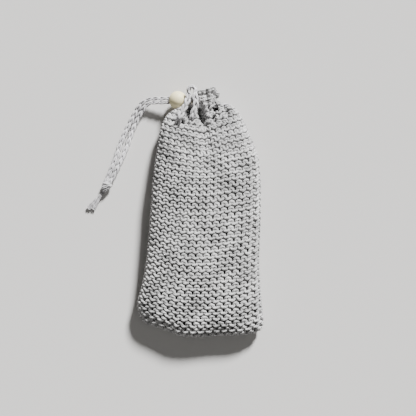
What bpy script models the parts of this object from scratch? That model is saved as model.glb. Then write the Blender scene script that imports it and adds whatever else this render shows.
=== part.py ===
"""A knitted drawstring pouch, lying on its back.

Two garter-stitch panels are sewn together at the sides and the bottom. The top is gathered by a
drawstring of chain stitch, whose two ends pass through a wooden bead and are knotted together.
+X is to the right, +Y is towards the mouth and +Z is up. Every length is in millimetres until a mesh
is made, because a mesh holds metres.
"""

import math

import bmesh
import bpy
import numpy as np

MM = 0.001
GAP = 0.3  # left between neighbours

# The pouch, as sections across it: y, left edge, right edge, thickness.
SECTIONS = (
    (-105.5, -50.0, 52.0, 11.0),
    (-98.0, -53.2, 54.0, 18.0),
    (-85.0, -54.0, 53.0, 23.0),
    (-50.0, -47.6, 50.2, 27.0),
    (0.0, -42.8, 50.6, 28.0),
    (40.0, -39.6, 50.0, 27.0),
    (62.0, -36.2, 44.0, 25.0),
    (75.0, -32.8, 38.2, 23.0),
    (84.0, -28.0, 33.5, 21.5),
    (90.0, -9.5, 25.5, 20.0),
)
BOTTOM_Y = SECTIONS[0][0]
HINGE_Y = 60.0  # the front folds open along this line
NECK_END_Y = 87.2
CORNER_X = -20.0  # from here to the left, the bottom edge rises to a cut-off corner
CORNER_RISE = 13.0
CORNER_WIDTH = 34.0
CORNER_DEPTH = 40.0
ROUNDNESS = 2.5  # a section's upper half is this superellipse
FLAT_ROUNDNESS = 3.6  # and its lower half, which rests, this one
REST_SAG = 0.8  # how much of the lower half is pressed flat

FABRIC = 4.5  # thickness of the garter stitch
GATHERED_FABRIC = 5.8  # and where the drawstring gathers it
SEAM = 3.0  # width of a sewn seam
SLIT = 2.0  # half height left between the panels' ends
BOTTOM_SEAM_DEPTH = 4.0
BOTTOM_ROUNDING = 3.0  # the panels' ends bend over within this length
PLEATS = 9  # waves round half the neck
PLEAT_DEPTH = 1.2

# The gathered header that stands above the drawstring.
HEADER_LEFT = -7.8
HEADER_RIGHT = 19.6
HEADER_START_Y = 92.4
HEADER_END_Y = 101.4
HEADER_HEIGHT = 20.0
HEADER_FLARE = 1.2  # how far the rim stands out past the drawstring
HEADER_PLEATS = 5
HEADER_PLEAT_DEPTH = 2.0
EDGE_CHAIN = 2.6  # thickness of the mouth's bound-off edge
EDGE_START = 0.42  # angle at which it starts, past the header's side
WAIST_Y = 89.9  # the drawstring's run round the neck
RUN_RADIUS = 1.9
RUN_INSET = 1.0  # how far inside the pouch's sides it runs

# The bead, on the two strands, which run straight through it with their far side lower.
BEAD_RADIUS = 7.6
BEAD_BORE_RADIUS = 3.5
BEAD_EASE = 0.4
BEAD_CENTRE = (-19.4, 95.6, 10.6)
BORE_TILT = math.radians(10)

# The two strands lie side by side along this line, from the mouth to the knot.
STRAND_RADIUS = 1.9
STRAND_OFFSET = 2.05
SQUEEZED_RADIUS = 1.55  # where the bead runs
SQUEEZED_OFFSET = 1.7
SWELL_START = 0.30  # share of the line at which the strands start to swell again
SWELL_END = 0.40
STRAND_PARTING = 0.9  # how far each strand bows out where they part
STRAND_PARTING_AT = 0.68
STRAND_PARTING_SPAN = 0.12
STRAIGHT_XS = (-8.6, -17.0, -28.0, -38.0, -42.0)
FREE_LINE = (
    (-48.0, 93.0, 4.9),
    (-53.4, 86.2, 3.0),
    (-57.8, 78.0, 2.2),
    (-61.4, 70.4, 2.1),
    (-65.2, 60.6, 2.1),
    (-69.4, 49.6, 2.1),
    (-73.6, 39.4, 2.2),
    (-79.2, 27.2, 3.4),
)
KNOT_CENTRE = (-81.7, 21.8, 3.9)
KNOT_HALF_LENGTH = 5.0
KNOT_HALF_WIDTH = 3.8
KNOT_HALF_HEIGHT = 3.35
KNOT_WRAPS = 3
KNOT_BLUNTNESS = 0.8  # below 1 rounds the knot's ends off more fully
KNOT_RIDGE = 0.1  # how far a wrap stands out, as a share of the knot's width
YARN_END_TIPS = ((-97.8, 3.2), (-92.4, 2.0))
YARN_END_START = 0.7  # past the knot
YARN_END_ROOT_Z = 2.6
YARN_END_ROOT_RADIUS = 0.9
YARN_END_TIP_RADIUS = 1.7

# The drawstring's loop, which comes out of the front and goes back in over the edge.
LOOP_RADIUS = 1.7
LOOP_LINE = (
    (-21.0, 78.0, 23.4),
    (-18.3, 83.6, 22.4),
    (-14.6, 90.0, 19.8),
    (-11.2, 96.4, 17.2),
    (-9.6, 101.2, 15.9),
    (-7.2, 103.9, 17.6),
    (-4.8, 101.6, 20.0),
    (-3.8, 97.8, 21.3),
)

# How finely each sub-part is divided.
FRONT_COLUMNS = 21
NECK_COLUMNS = 61
BACK_COLUMNS = 25
HEADER_COLUMNS = 33
PANEL_ROWS = 14
NECK_ROWS = 8
HEADER_ROWS = 4
SEAM_POINTS = 16
RUN_POINTS = 15
EDGE_POINTS = 17
LOOP_POINTS = 16
STRAND_POINTS = 30
YARN_END_POINTS = 8
BEAD_POINTS = 15
BEAD_STEPS = 28
KNOT_STATIONS = 17
KNOT_SIDES = 20

COTTON = (0.62, 0.62, 0.63)
COTTON_SHADE = (0.55, 0.55, 0.565)
MAPLE = (0.78, 0.73, 0.58)


def clear_scene():
    for old in list(bpy.data.objects):
        bpy.data.objects.remove(old, do_unlink=True)


def material(name, colour, roughness):
    made = bpy.data.materials.new(name)
    made.use_nodes = True
    shader = made.node_tree.nodes["Principled BSDF"]
    shader.inputs["Base Color"].default_value = (*colour, 1.0)
    shader.inputs["Roughness"].default_value = roughness
    shader.inputs["Metallic"].default_value = 0.0
    return made


def smooth_through(points, at):
    """Points on one smooth curve through the given rows, whose first column is what it runs along."""
    rows = np.array(points, float)
    keys = rows[:, 0]
    slopes = np.gradient(rows, keys, axis=0)
    found = []
    for value in np.atleast_1d(at):
        i = int(np.clip(np.searchsorted(keys, value) - 1, 0, len(keys) - 2))
        span = keys[i + 1] - keys[i]
        t = np.clip((value - keys[i]) / span, 0.0, 1.0)
        start = (1 + 2 * t) * (1 - t) ** 2 * rows[i] + t * (1 - t) ** 2 * span * slopes[i]
        end = t * t * (3 - 2 * t) * rows[i + 1] + t * t * (t - 1) * span * slopes[i + 1]
        found.append(start + end)
    return np.array(found)


def route(points, count):
    """Evenly spread points on a smooth curve through a cord's own points."""
    line = np.array(points, float)
    steps = np.linalg.norm(np.diff(line, axis=0), axis=1)
    along = np.concatenate([[0.0], np.cumsum(steps)])
    keyed = np.column_stack([along, line])
    return smooth_through(keyed, np.linspace(0.0, along[-1], count))[:, 1:]


def ramp(value):
    """0 before 0, 1 after 1 and smooth between."""
    t = min(max(value, 0.0), 1.0)
    return t * t * (3 - 2 * t)


def rounded(value, power):
    return math.copysign(abs(value) ** power, value)


def wall(y):
    return FABRIC + (GATHERED_FABRIC - FABRIC) * ramp((y - HINGE_Y) / (NECK_END_Y - HINGE_Y))


def corner_rise(x, y):
    """How far the cut-off corner lifts the fabric."""
    beside = ramp((CORNER_X - x) / CORNER_WIDTH)
    below = ramp((BOTTOM_Y + CORNER_DEPTH - y) / CORNER_DEPTH)
    return CORNER_RISE * beside * below


def pouch_ring(y, angle, inset):
    """The point at an angle round the section at y, that far inside the skin. 0 is the right side."""
    left, right, height = smooth_through(SECTIONS, y)[0][1:]
    half_width = (right - left) / 2 - inset
    half_height = height / 2 - inset
    if inset:
        half_height = max(half_height, SLIT)
    up = math.sin(angle) >= 0
    power = 2 / (ROUNDNESS if up else FLAT_ROUNDNESS)
    x = (left + right) / 2 + half_width * rounded(math.cos(angle), power)
    lift = (half_height if up else half_height + REST_SAG) * rounded(math.sin(angle), power)
    gathered = ramp((y - HINGE_Y) / (NECK_END_Y - HINGE_Y))
    if up:
        lift += PLEAT_DEPTH * gathered * math.sin(angle) * math.cos(2 * PLEATS * angle)
    floor = 0.0 if not inset else inset
    z = max(height / 2 + lift, min(floor, height / 2 - SLIT))
    return x, y + corner_rise(x, y), z


def header_ring(y, angle, inset):
    """The same for the header, whose pleats show on its outer side."""
    flare = HEADER_FLARE * ramp((y - HEADER_START_Y) / (HEADER_END_Y - HEADER_START_Y)) - HEADER_FLARE
    wave = (1 + math.cos(2 * HEADER_PLEATS * angle)) / 2 * math.sin(angle) ** 2
    depth = inset if inset else HEADER_PLEAT_DEPTH * wave
    half_width = (HEADER_RIGHT - HEADER_LEFT) / 2 + flare - inset
    half_height = HEADER_HEIGHT / 2 + flare - depth
    power = 2 / ROUNDNESS
    x = (HEADER_LEFT + HEADER_RIGHT) / 2 + half_width * rounded(math.cos(angle), power)
    return x, y, HEADER_HEIGHT / 2 + half_height * rounded(math.sin(angle), power)


def angle_off_middle(ring, y, inset, distance, side):
    """The angle near the right side at which a ring is this far off its middle. side is 1 up or -1 down."""
    middle = ring(y, 0.0, inset)[2]
    low, high = 0.0, math.pi / 2
    for _ in range(40):
        trial = (low + high) / 2
        if side * (ring(y, side * trial, inset)[2] - middle) < distance:
            low = trial
        else:
            high = trial
    return high


def closed_grid(name, outer, inner, look):
    """One solid between an outer and an inner grid of points, closed round its edges."""
    shape = bmesh.new()
    rows, columns = len(outer), len(outer[0])
    skins = [[[shape.verts.new([c * MM for c in p]) for p in row] for row in grid] for grid in (outer, inner)]
    for row in range(rows - 1):
        for column in range(columns - 1):
            corners = ((row, column), (row, column + 1), (row + 1, column + 1), (row + 1, column))
            shape.faces.new([skins[0][r][c] for r, c in corners])
            shape.faces.new([skins[1][r][c] for r, c in reversed(corners)])
    border = [(0, c) for c in range(columns)]
    border += [(r, columns - 1) for r in range(1, rows)]
    border += [(rows - 1, c) for c in range(columns - 2, -1, -1)]
    border += [(r, 0) for r in range(rows - 2, 0, -1)]
    for (r0, c0), (r1, c1) in zip(border, border[1:] + border[:1], strict=True):
        shape.faces.new([skins[0][r1][c1], skins[0][r0][c0], skins[1][r0][c0], skins[1][r1][c1]])
    bmesh.ops.recalc_face_normals(shape, faces=shape.faces)
    return placed(name, shape, look)


def placed(name, shape, look):
    mesh = bpy.data.meshes.new(name)
    bmesh.ops.triangulate(shape, faces=shape.faces)
    shape.to_mesh(mesh)
    shape.free()
    mesh.materials.append(look)
    mesh.shade_smooth()
    mesh.set_sharp_from_angle(angle=math.radians(40))
    made = bpy.data.objects.new(name, mesh)
    bpy.context.collection.objects.link(made)
    return made


def half_shell(name, ring, ys, thickness, side, columns, look):
    """The upper (side 1) or lower (side -1) half of a stretch of rings, short of the side seams."""
    edge = SEAM / 2 + GAP
    outer, inner = [], []
    for y in ys:
        for grid, inset in ((outer, 0.0), (inner, thickness(y))):
            start = angle_off_middle(ring, y, inset, edge, side)
            angles = np.linspace(start, math.pi - start, columns)
            grid.append([ring(y, side * angle, inset) for angle in angles])
    return closed_grid(name, outer, inner, look)


def side_seam(name, right, ys, look):
    """A strip of sewing between the panels, up one side."""
    half = SEAM / 2
    outer, inner = [], []
    for y in ys:
        for grid, inset in ((outer, 0.0), (inner, wall(y))):
            top = angle_off_middle(pouch_ring, y, inset, half, 1)
            bottom = -angle_off_middle(pouch_ring, y, inset, half, -1)
            angles = (bottom, 0.0, top)
            if not right:
                angles = (math.pi - top, math.pi, math.pi - bottom)
            grid.append([pouch_ring(y, angle, inset) for angle in angles])
    return closed_grid(name, outer, inner, look)


def bottom_seam(look):
    """A bar of sewing between the panels' ends."""
    rows = []
    for y in (BOTTOM_Y, BOTTOM_Y + BOTTOM_SEAM_DEPTH):
        left = pouch_ring(y, math.pi, wall(y))[0] + GAP
        right = pouch_ring(y, 0.0, wall(y))[0] - GAP
        middle = pouch_ring(y, 0.0, 0.0)[2]
        line = []
        for x in np.linspace(left, right, SEAM_POINTS):
            line.append((x, y + corner_rise(x, y), middle))
        rows.append(line)
    half = SLIT - GAP
    upper = [[(x, y, z + half) for x, y, z in line] for line in rows]
    lower = [[(x, y, z - half) for x, y, z in line] for line in rows]
    return closed_grid("bottom_seam", upper, lower, look)


def tube(name, line, radius, look, radii=None, sides=2):
    """A closed round cord along a line of points."""
    data = bpy.data.curves.new(name, "CURVE")
    data.dimensions = "3D"
    data.bevel_depth = radius * MM
    data.bevel_resolution = sides
    data.use_fill_caps = True
    spline = data.splines.new("POLY")
    spline.points.add(len(line) - 1)
    for i, (point, place) in enumerate(zip(spline.points, line, strict=True)):
        point.co = (*(c * MM for c in place), 1.0)
        if radii is not None:
            point.radius = radii[i]
    data.materials.append(look)
    made = bpy.data.objects.new(name, data)
    bpy.context.collection.objects.link(made)
    return made


def waist_run(name, side, look):
    """The drawstring's half turn round the neck, above (side 1) or below (side -1)."""
    left, right, height = smooth_through(SECTIONS, WAIST_Y)[0][1:]
    half_width = (right - left) / 2 - RUN_RADIUS - RUN_INSET
    half_height = height / 2 - GATHERED_FABRIC / 2
    start = math.asin((RUN_RADIUS + GAP) / half_height)
    line = []
    for angle in np.linspace(start, math.pi - start, RUN_POINTS):
        x = (left + right) / 2 + half_width * math.cos(angle)
        line.append((x, WAIST_Y, height / 2 + side * half_height * math.sin(angle)))
    return tube(name, line, RUN_RADIUS, look)


def mouth_edge(name, side, look):
    """The bound-off edge along the header's rim."""
    thickness = GATHERED_FABRIC / 2
    line = []
    for angle in np.linspace(EDGE_START, math.pi - EDGE_START, EDGE_POINTS):
        x, _, z = header_ring(HEADER_END_Y, side * angle, thickness)
        line.append((x, HEADER_END_Y + GAP + EDGE_CHAIN / 2, z))
    return tube(name, line, EDGE_CHAIN / 2, look)


def strand_line():
    """The line that the strands lie along: straight down the bore, then free."""
    x0, y0, z0 = BEAD_CENTRE
    straight = [(x, y0, z0 + (x - x0) * math.tan(BORE_TILT)) for x in STRAIGHT_XS]
    return straight + list(FREE_LINE)


def strand(name, side, look):
    """One of the drawstring's two ends, offset sideways from their common line."""
    middle = route(strand_line(), STRAND_POINTS)
    ahead = np.gradient(middle, axis=0)
    line, radii = [], []
    for i, (place, along) in enumerate(zip(middle, ahead, strict=True)):
        across = np.array([-along[1], along[0], 0.0])
        across /= np.linalg.norm(across)
        share = i / (len(middle) - 1)
        swell = ramp((share - SWELL_START) / (SWELL_END - SWELL_START))
        bow = STRAND_PARTING * math.exp(-(((share - STRAND_PARTING_AT) / STRAND_PARTING_SPAN) ** 2))
        offset = SQUEEZED_OFFSET + (STRAND_OFFSET - SQUEEZED_OFFSET) * swell + bow
        line.append(place - side * offset * across)
        squeezed = SQUEEZED_RADIUS / STRAND_RADIUS
        radii.append(squeezed + (1 - squeezed) * swell)
    return tube(name, line, STRAND_RADIUS, look, radii)


def bead(look):
    """A turned wooden ball with a straight bore."""
    half_length = math.sqrt(BEAD_RADIUS**2 - (BEAD_BORE_RADIUS + BEAD_EASE) ** 2)
    profile = [(-half_length + BEAD_EASE, BEAD_BORE_RADIUS), (half_length - BEAD_EASE, BEAD_BORE_RADIUS)]
    first = math.acos(half_length / BEAD_RADIUS)
    for angle in np.linspace(first, math.pi - first, BEAD_POINTS):
        profile.append((BEAD_RADIUS * math.cos(angle), BEAD_RADIUS * math.sin(angle)))
    shape = bmesh.new()
    ring = [shape.verts.new((x * MM, 0.0, r * MM)) for x, r in profile]
    edges = [shape.edges.new((a, b)) for a, b in zip(ring, ring[1:] + ring[:1], strict=True)]
    bmesh.ops.spin(
        shape,
        geom=ring + edges,
        axis=(1.0, 0.0, 0.0),
        cent=(0.0, 0.0, 0.0),
        angle=math.tau,
        steps=BEAD_STEPS,
        use_merge=True,
    )
    bmesh.ops.remove_doubles(shape, verts=shape.verts, dist=0.00001)
    bmesh.ops.recalc_face_normals(shape, faces=shape.faces)
    made = placed("wooden_bead", shape, look)
    made.location = [c * MM for c in BEAD_CENTRE]
    made.rotation_euler = (0.0, -BORE_TILT, 0.0)
    return made


def stopper_knot(look):
    """The knot that ties the two ends together, with its wraps as rounded ridges."""
    direction = np.array(KNOT_CENTRE) - np.array(FREE_LINE[-1])
    heading = math.atan2(direction[1], direction[0])
    shape = bmesh.new()
    rings = []
    for i in range(1, KNOT_STATIONS):
        angle = math.pi * i / KNOT_STATIONS
        along = -math.cos(angle)
        ridge = 1 - KNOT_RIDGE * math.cos(angle * 2 * KNOT_WRAPS)
        size = math.sin(angle) ** KNOT_BLUNTNESS * ridge
        ring = []
        for j in range(KNOT_SIDES):
            turn = math.tau * j / KNOT_SIDES
            place = (
                KNOT_HALF_LENGTH * along * MM,
                KNOT_HALF_WIDTH * size * math.cos(turn) * MM,
                KNOT_HALF_HEIGHT * size * math.sin(turn) * MM,
            )
            ring.append(shape.verts.new(place))
        rings.append(ring)
    for one, other in zip(rings, rings[1:], strict=False):
        for j in range(KNOT_SIDES):
            k = (j + 1) % KNOT_SIDES
            shape.faces.new((one[j], one[k], other[k], other[j]))
    shape.faces.new(rings[0])
    shape.faces.new(rings[-1])
    bmesh.ops.recalc_face_normals(shape, faces=shape.faces)
    made = placed("stopper_knot", shape, look)
    made.location = [c * MM for c in KNOT_CENTRE]
    made.rotation_euler = (0.0, 0.0, heading)
    return made


def yarn_end(name, side, tip, look):
    """A loose end of yarn beyond the knot, which spreads towards its tip."""
    direction = np.array(KNOT_CENTRE) - np.array(FREE_LINE[-1])
    direction[2] = 0.0
    direction /= np.linalg.norm(direction)
    across = np.array([-direction[1], direction[0], 0.0])
    root = np.array(KNOT_CENTRE) + direction * (KNOT_HALF_LENGTH + YARN_END_START)
    root = root - side * across * (YARN_END_ROOT_RADIUS + GAP)
    root[2] = YARN_END_ROOT_Z
    end = np.array((*tip, YARN_END_TIP_RADIUS + GAP))
    line = [root + (end - root) * t for t in np.linspace(0.0, 1.0, YARN_END_POINTS)]
    thin = YARN_END_ROOT_RADIUS / YARN_END_TIP_RADIUS
    radii = np.linspace(thin, 1.0, YARN_END_POINTS)
    return tube(name, line, YARN_END_TIP_RADIUS, look, radii)


def build():
    clear_scene()
    cotton = material("cotton_garter", COTTON, 0.9)
    seam_yarn = material("seam_yarn", COTTON_SHADE, 0.9)
    cord = material("cotton_cord", COTTON, 0.85)
    wood = material("pale_wood", MAPLE, 0.45)

    flat_ys = np.linspace(SECTIONS[1][0], HINGE_Y, PANEL_ROWS)
    panel_ys = np.concatenate([[BOTTOM_Y, BOTTOM_Y + BOTTOM_ROUNDING], flat_ys])
    neck_ys = np.linspace(HINGE_Y + GAP, NECK_END_Y, NECK_ROWS)
    back_ys = np.concatenate([panel_ys, neck_ys[1:]])
    header_ys = np.linspace(HEADER_START_Y, HEADER_END_Y, HEADER_ROWS)
    half_shell("front_panel", pouch_ring, panel_ys, wall, 1, FRONT_COLUMNS, cotton)
    half_shell("front_neck", pouch_ring, neck_ys, wall, 1, NECK_COLUMNS, cotton)
    half_shell("back_panel", pouch_ring, back_ys, wall, -1, BACK_COLUMNS, cotton)
    for name, side in (("front_header", 1), ("back_header", -1)):
        half_shell(name, header_ring, header_ys, lambda y: GATHERED_FABRIC, side, HEADER_COLUMNS, cotton)
    for name, side in (("front_mouth_edge", 1), ("back_mouth_edge", -1)):
        mouth_edge(name, side, cotton)

    seam_ys = np.concatenate([back_ys[2:-1], [NECK_END_Y]])
    side_seam("left_side_seam", False, seam_ys, seam_yarn)
    side_seam("right_side_seam", True, seam_ys, seam_yarn)
    bottom_seam(seam_yarn)

    waist_run("drawstring_front_run", 1, cord)
    waist_run("drawstring_back_run", -1, cord)
    tube("drawstring_loop", route(LOOP_LINE, LOOP_POINTS), LOOP_RADIUS, cord)
    strand("drawstring_strand_a", 1, cord)
    strand("drawstring_strand_b", -1, cord)
    bead(wood)
    stopper_knot(cord)
    for name, side, tip in (("yarn_end_a", 1, YARN_END_TIPS[0]), ("yarn_end_b", -1, YARN_END_TIPS[1])):
        yarn_end(name, side, tip, cord)


build()
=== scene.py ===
"""The looks of a garter-stitch drawstring pouch: every loop of its yarn, its chain cord, knot and bead.

The fabric is a smooth surface, gathered into folds at the mouth, on which each course of knitting is laid
as one yarn. +X is to the right, +Y towards the mouth, +Z up. Lengths are in millimetres until a mesh is
made, because a mesh holds metres.
"""

import math

import bpy
import numpy as np
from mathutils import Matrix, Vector


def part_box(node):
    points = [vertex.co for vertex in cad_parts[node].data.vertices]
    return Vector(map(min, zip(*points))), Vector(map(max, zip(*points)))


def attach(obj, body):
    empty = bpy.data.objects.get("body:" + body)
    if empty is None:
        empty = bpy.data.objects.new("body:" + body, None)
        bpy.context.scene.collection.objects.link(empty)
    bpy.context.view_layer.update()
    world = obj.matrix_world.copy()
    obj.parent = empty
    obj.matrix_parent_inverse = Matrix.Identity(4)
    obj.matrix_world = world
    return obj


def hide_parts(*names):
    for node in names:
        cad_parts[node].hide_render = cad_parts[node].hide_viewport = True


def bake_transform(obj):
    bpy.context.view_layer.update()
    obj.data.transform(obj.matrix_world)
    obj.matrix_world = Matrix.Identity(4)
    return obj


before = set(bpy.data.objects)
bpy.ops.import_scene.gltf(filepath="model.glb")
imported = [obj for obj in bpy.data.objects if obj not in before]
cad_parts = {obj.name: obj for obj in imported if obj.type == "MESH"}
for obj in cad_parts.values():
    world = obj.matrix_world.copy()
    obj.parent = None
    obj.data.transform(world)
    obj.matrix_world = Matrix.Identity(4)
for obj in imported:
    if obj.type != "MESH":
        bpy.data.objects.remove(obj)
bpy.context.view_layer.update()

MM = 0.001
SEED = 7
SPLINE_STEPS = 12  # points that a smooth line gets between two of its own

# Yarn and stitches
YARN_RADIUS = 1.26
YARN_SIDES = 8
SAMPLES = 12  # points round one loop
STITCHES = 16  # across each panel
COURSE = 2.66  # height of one course, which is half a garter ridge
HEAD_REACH = 3.1  # how far a loop's head on the near side stands from the course's middle
FOOT_REACH = 2.85  # and a loop's foot
LOOP_FULLNESS = 0.45  # above 0 makes heads and feet flatter at their ends
LOOP_SWING = 1.05  # how far a loop's sides lean over
LOOP_FOOT = 0.33  # how much wider a loop's foot is than its head
LOOP_DEPTH = 1.35  # how far heads and feet stand out from the fabric's middle
CROSSING = 0.35  # how far a loop's sides stand off the fabric's middle, so that two courses can cross
NECK_SQUEEZE = 0.14  # how much thinner the yarn is where the neck is drawn together
NECK_FLATTENING = 0.35  # and how much less deep its loops are
# How unevenly the loops are made: their height, and how far they stray up and along
UNEVEN_HEIGHT, UNEVEN_COURSE, UNEVEN_STITCH = 0.03, 0.045, 0.04
NECK_JITTER = 1.8  # how much more uneven the stitches are in the neck
SHORTEST_YARN = 3  # a piece of yarn with no more points than this is left out

# The surface that the yarn is laid on
LEVELS = 300
RING_POINTS = 721
COLUMNS_PER_STITCH = 8
ROWS_PER_COURSE = 6
SMOOTHINGS = 3  # how often the courses are smoothed sideways
SMOOTHING_REACH = 4  # and over how many columns to each side
FLATTEST_HALF = 0.4  # half the least thickness between the middles of the front and the back
EDGE_FADE = 0.5  # power with which the folds fade towards the sides
SWELLING = 0.5  # how far the front swells and dips
FEWEST_WAVES, MOST_WAVES = 0.004, 0.018  # and in how many waves to the millimetre

# The pouch in sections across it, close to the CAD model's: y, left edge, right edge, thickness
SECTIONS = (
    (-105.5, -50.0, 52.0, 9.0),
    (-103.5, -51.6, 53.2, 15.0),
    (-98.0, -53.4, 54.0, 19.6),
    (-85.0, -54.0, 53.0, 23.0),
    (-50.0, -47.6, 50.4, 27.0),
    (0.0, -42.8, 51.4, 28.0),
    (30.0, -40.6, 51.2, 27.4),
    (46.0, -38.4, 49.6, 26.4),
    (62.0, -36.0, 44.0, 25.0),
    (75.0, -32.8, 38.4, 23.2),
    (84.0, -26.6, 33.8, 21.8),
    (88.0, -20.0, 30.2, 21.0),
    (91.0, -12.6, 25.4, 20.4),
    (92.8, -11.2, 19.8, 20.0),
    (105.0, -10.0, 18.4, 20.6),
)
BOTTOM_Y = SECTIONS[0][0]
TOP_Y = 102.0
ROUNDNESS = 2.5  # a section's upper half is this superellipse
FLAT_ROUNDNESS = 3.6  # and its lower half, which rests, this one
REST_SAG = 0.8  # how much lower the back's middle lies
# How far the bottom edge is drawn up, from left to right, and the height in which that fades
BOTTOM_LIFT = (
    (-54.0, 16.0),
    (-46.0, 10.5),
    (-37.0, 7.5),
    (-28.0, 4.6),
    (-20.0, 1.6),
    (-8.0, 0.0),
    (15.0, 0.3),
    (46.0, 3.0),
    (54.0, 5.5),
)
LIFT_FADE = 42.0
# The rims' heights, from left to right
FRONT_RIM = (
    (-11.0, 93.5),
    (-6.5, 97.0),
    (-1.5, 101.0),
    (4.0, 102.2),
    (8.0, 103.4),
    (11.0, 104.0),
    (14.0, 100.5),
    (17.0, 98.6),
    (19.5, 93.6),
)
BACK_RIM = ((-11.0, 96.0), (-4.0, 99.5), (3.0, 98.0), (9.0, 101.0), (15.0, 98.5), (19.5, 96.0))
RIM_STRETCH = 12.0  # the rim's rise and fall fades in this height

# The folds where the drawstring gathers the mouth: x and y at the low end, x and y at the waist, depth,
# half width, and depth at the rim
FRONT_FOLDS = (
    (-12.4, 79.5, -6.4, 97.0, 7.0, 2.6, 4.0),
    (3.8, 73.0, -1.4, 89.4, 7.0, 3.2, 4.0),
    (4.5, 52.0, 2.0, 90.0, 2.2, 6.0, 0.0),
    (8.6, 82.0, 6.0, 95.0, 5.5, 1.8, 5.0),
    (11.6, 77.0, 13.0, 93.0, 6.5, 2.0, 5.5),
    (24.0, 80.0, 19.2, 93.0, 5.5, 2.0, 4.5),
)
BACK_FOLDS = (
    (-20.0, 70.0, -8.6, 92.0, 5.0, 2.2, 4.5),
    (-7.0, 62.0, -3.8, 92.0, 6.5, 2.2, 5.5),
    (3.0, 60.0, 2.6, 92.0, 7.5, 2.2, 6.0),
    (12.0, 62.0, 9.4, 92.0, 7.5, 2.2, 6.0),
    (20.0, 66.0, 16.0, 92.0, 6.0, 2.2, 5.0),
)
FOLD_SHARPNESS = 4.0  # power of a fold's profile: the higher, the steeper its sides
FOLD_START = 4.0  # height in which a fold deepens
# Openings pulled between the stitches: x and y of one end, x and y of the other, half width
FRONT_OPENINGS = (
    (-12.0, 80.0, -6.2, 97.6, 1.6),
    (2.9, 74.8, -1.5, 89.6, 2.2),
    (9.4, 88.1, 16.0, 88.7, 2.6),
    (10.0, 80.6, 12.8, 79.0, 1.9),
    (-21.2, 74.4, -19.2, 77.2, 1.7),
    (-16.9, 74.0, -14.5, 77.6, 1.8),
)
OPENING_REACH = 6.0  # the stitches next to an opening crowd together within this width
TURN_DOWN = 6.0  # the yarn at an opening's edge turns down by this much
TURN_DOWN_WIDTH = 3.0  # and does so within this width
LEAST_CUT = 0.12  # a yarn is cut where an opening's (width / full width) ** 2 is more than this
# Below the slits the front's courses sag: x and y of the lowest, depth, half width, half height
FRONT_SAG = (3.0, 62.0, 4.6, 15.0, 28.0)
# The fabric is gathered from the first of these levels up to the second, where the drawstring runs
GATHER_START_Y = 68.0
WAIST_Y = 90.5
# The bound-off edge, a chain of stitches along the rim
EDGE_STITCH_LENGTH = 4.6
EDGE_SPREAD = 0.95
EDGE_RADIUS = 0.95
EDGE_RISE = 0.8  # how far it is above the last course
RIM_POINTS = 400

# The drawstring, a chain of stitches. The strands' line repeats the CAD model's.
CHAIN_STITCH_LENGTH = 6.3
CHAIN_SPREAD = 1.15  # half the distance between a chain's two sides
CHAIN_RADIUS = 1.0
CHAIN_FLATNESS = 0.9  # a chain's height as a share of its width
CHAIN_STEPS = 3  # points that a stitch's yarn gets between two of CHAIN_STITCH's
CAD_STRAND_POINTS = 30
STRAND_POINTS = 361
# Each strand's distance from the line between them, its spread and its yarn, free and in the bead
STRAND_OFFSET = 2.05
SQUEEZED_OFFSET = 1.7
SQUEEZED_SPREAD = 0.80
SQUEEZED_YARN = 0.82
# Where along a strand it swells from the one to the other, as shares of its length
SWELL_START = 0.30
SWELL_END = 0.40
STRAND_PARTING = 0.9  # how far the strands bow apart, where, and over what share of their length
STRAND_PARTING_AT = 0.68
STRAND_PARTING_SPAN = 0.12
STRAND_IN_KNOT = 0.6  # how far into the knot a strand runs, as a share of the way to its middle
STRAND_CLOSING = 0.45  # how much nearer to each other the strands are there
STRAND_CLOSING_AT = 0.92  # and from where, as a share of their length
BEAD_CENTRE = (-19.4, 95.6, 10.6)
BEAD_RADIUS = 7.6
BEAD_BORE_RADIUS = 3.5
BEAD_EASE = 0.5  # radius of the bore's eased mouths
EASE_REACH = 0.9  # and how far in they go, as a share of that
EASE_START = 0.15  # where the easing leaves the ball, in half turns
BEAD_SIDES = 72
BEAD_STEPS = 40
EASE_STEPS = 4
BORE_TILT = math.radians(10)
# The line that the strands lie along: its points' x on the bore's straight axis, then its free points
STRAIGHT_XS = (-8.6, -17.0, -28.0, -38.0, -42.0)
FREE_LINE = (
    (-48.0, 93.0, 4.9),
    (-53.4, 86.2, 3.0),
    (-57.8, 78.0, 2.2),
    (-61.4, 70.4, 2.1),
    (-65.2, 60.6, 2.1),
    (-69.4, 49.6, 2.1),
    (-73.6, 39.4, 2.2),
    (-79.2, 27.2, 3.4),
)
# The standing loop's line
LOOP_LINE = (
    (-19.6, 74.4, 17.0),
    (-18.8, 76.0, 21.2),
    (-17.2, 79.4, 24.2),
    (-15.2, 84.0, 23.6),
    (-12.8, 89.0, 21.8),
    (-10.8, 94.0, 20.2),
    (-9.6, 98.6, 19.0),
    (-10.0, 102.4, 18.6),
    (-9.0, 105.2, 18.8),
    (-7.0, 106.1, 19.4),
    (-4.9, 104.6, 20.2),
    (-4.4, 101.4, 21.0),
    (-4.6, 98.0, 21.6),
    (-3.8, 93.4, 22.0),
    (-4.2, 89.0, 22.4),
    (-5.4, 84.6, 23.0),
    (-6.8, 80.6, 22.6),
    (-7.6, 78.0, 19.0),
)
LOOP_POINTS = 240
LOOP_HOLE = (-7.2, 103.2)  # the middle of the loop's eye
LOOP_TURN_Y = 97.0  # above here the chain turns to face away from the eye
LOOP_TURN_HEIGHT = 5.0
LOOP_LEAN = 2.0  # the higher, the less it turns
LOOP_SPREAD = 1.5  # the chain's spread where it lies flat, and where it is turned
TURNED_SPREAD = 1.0
LOOP_RADIUS = 1.12  # and its yarn where it lies flat
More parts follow.
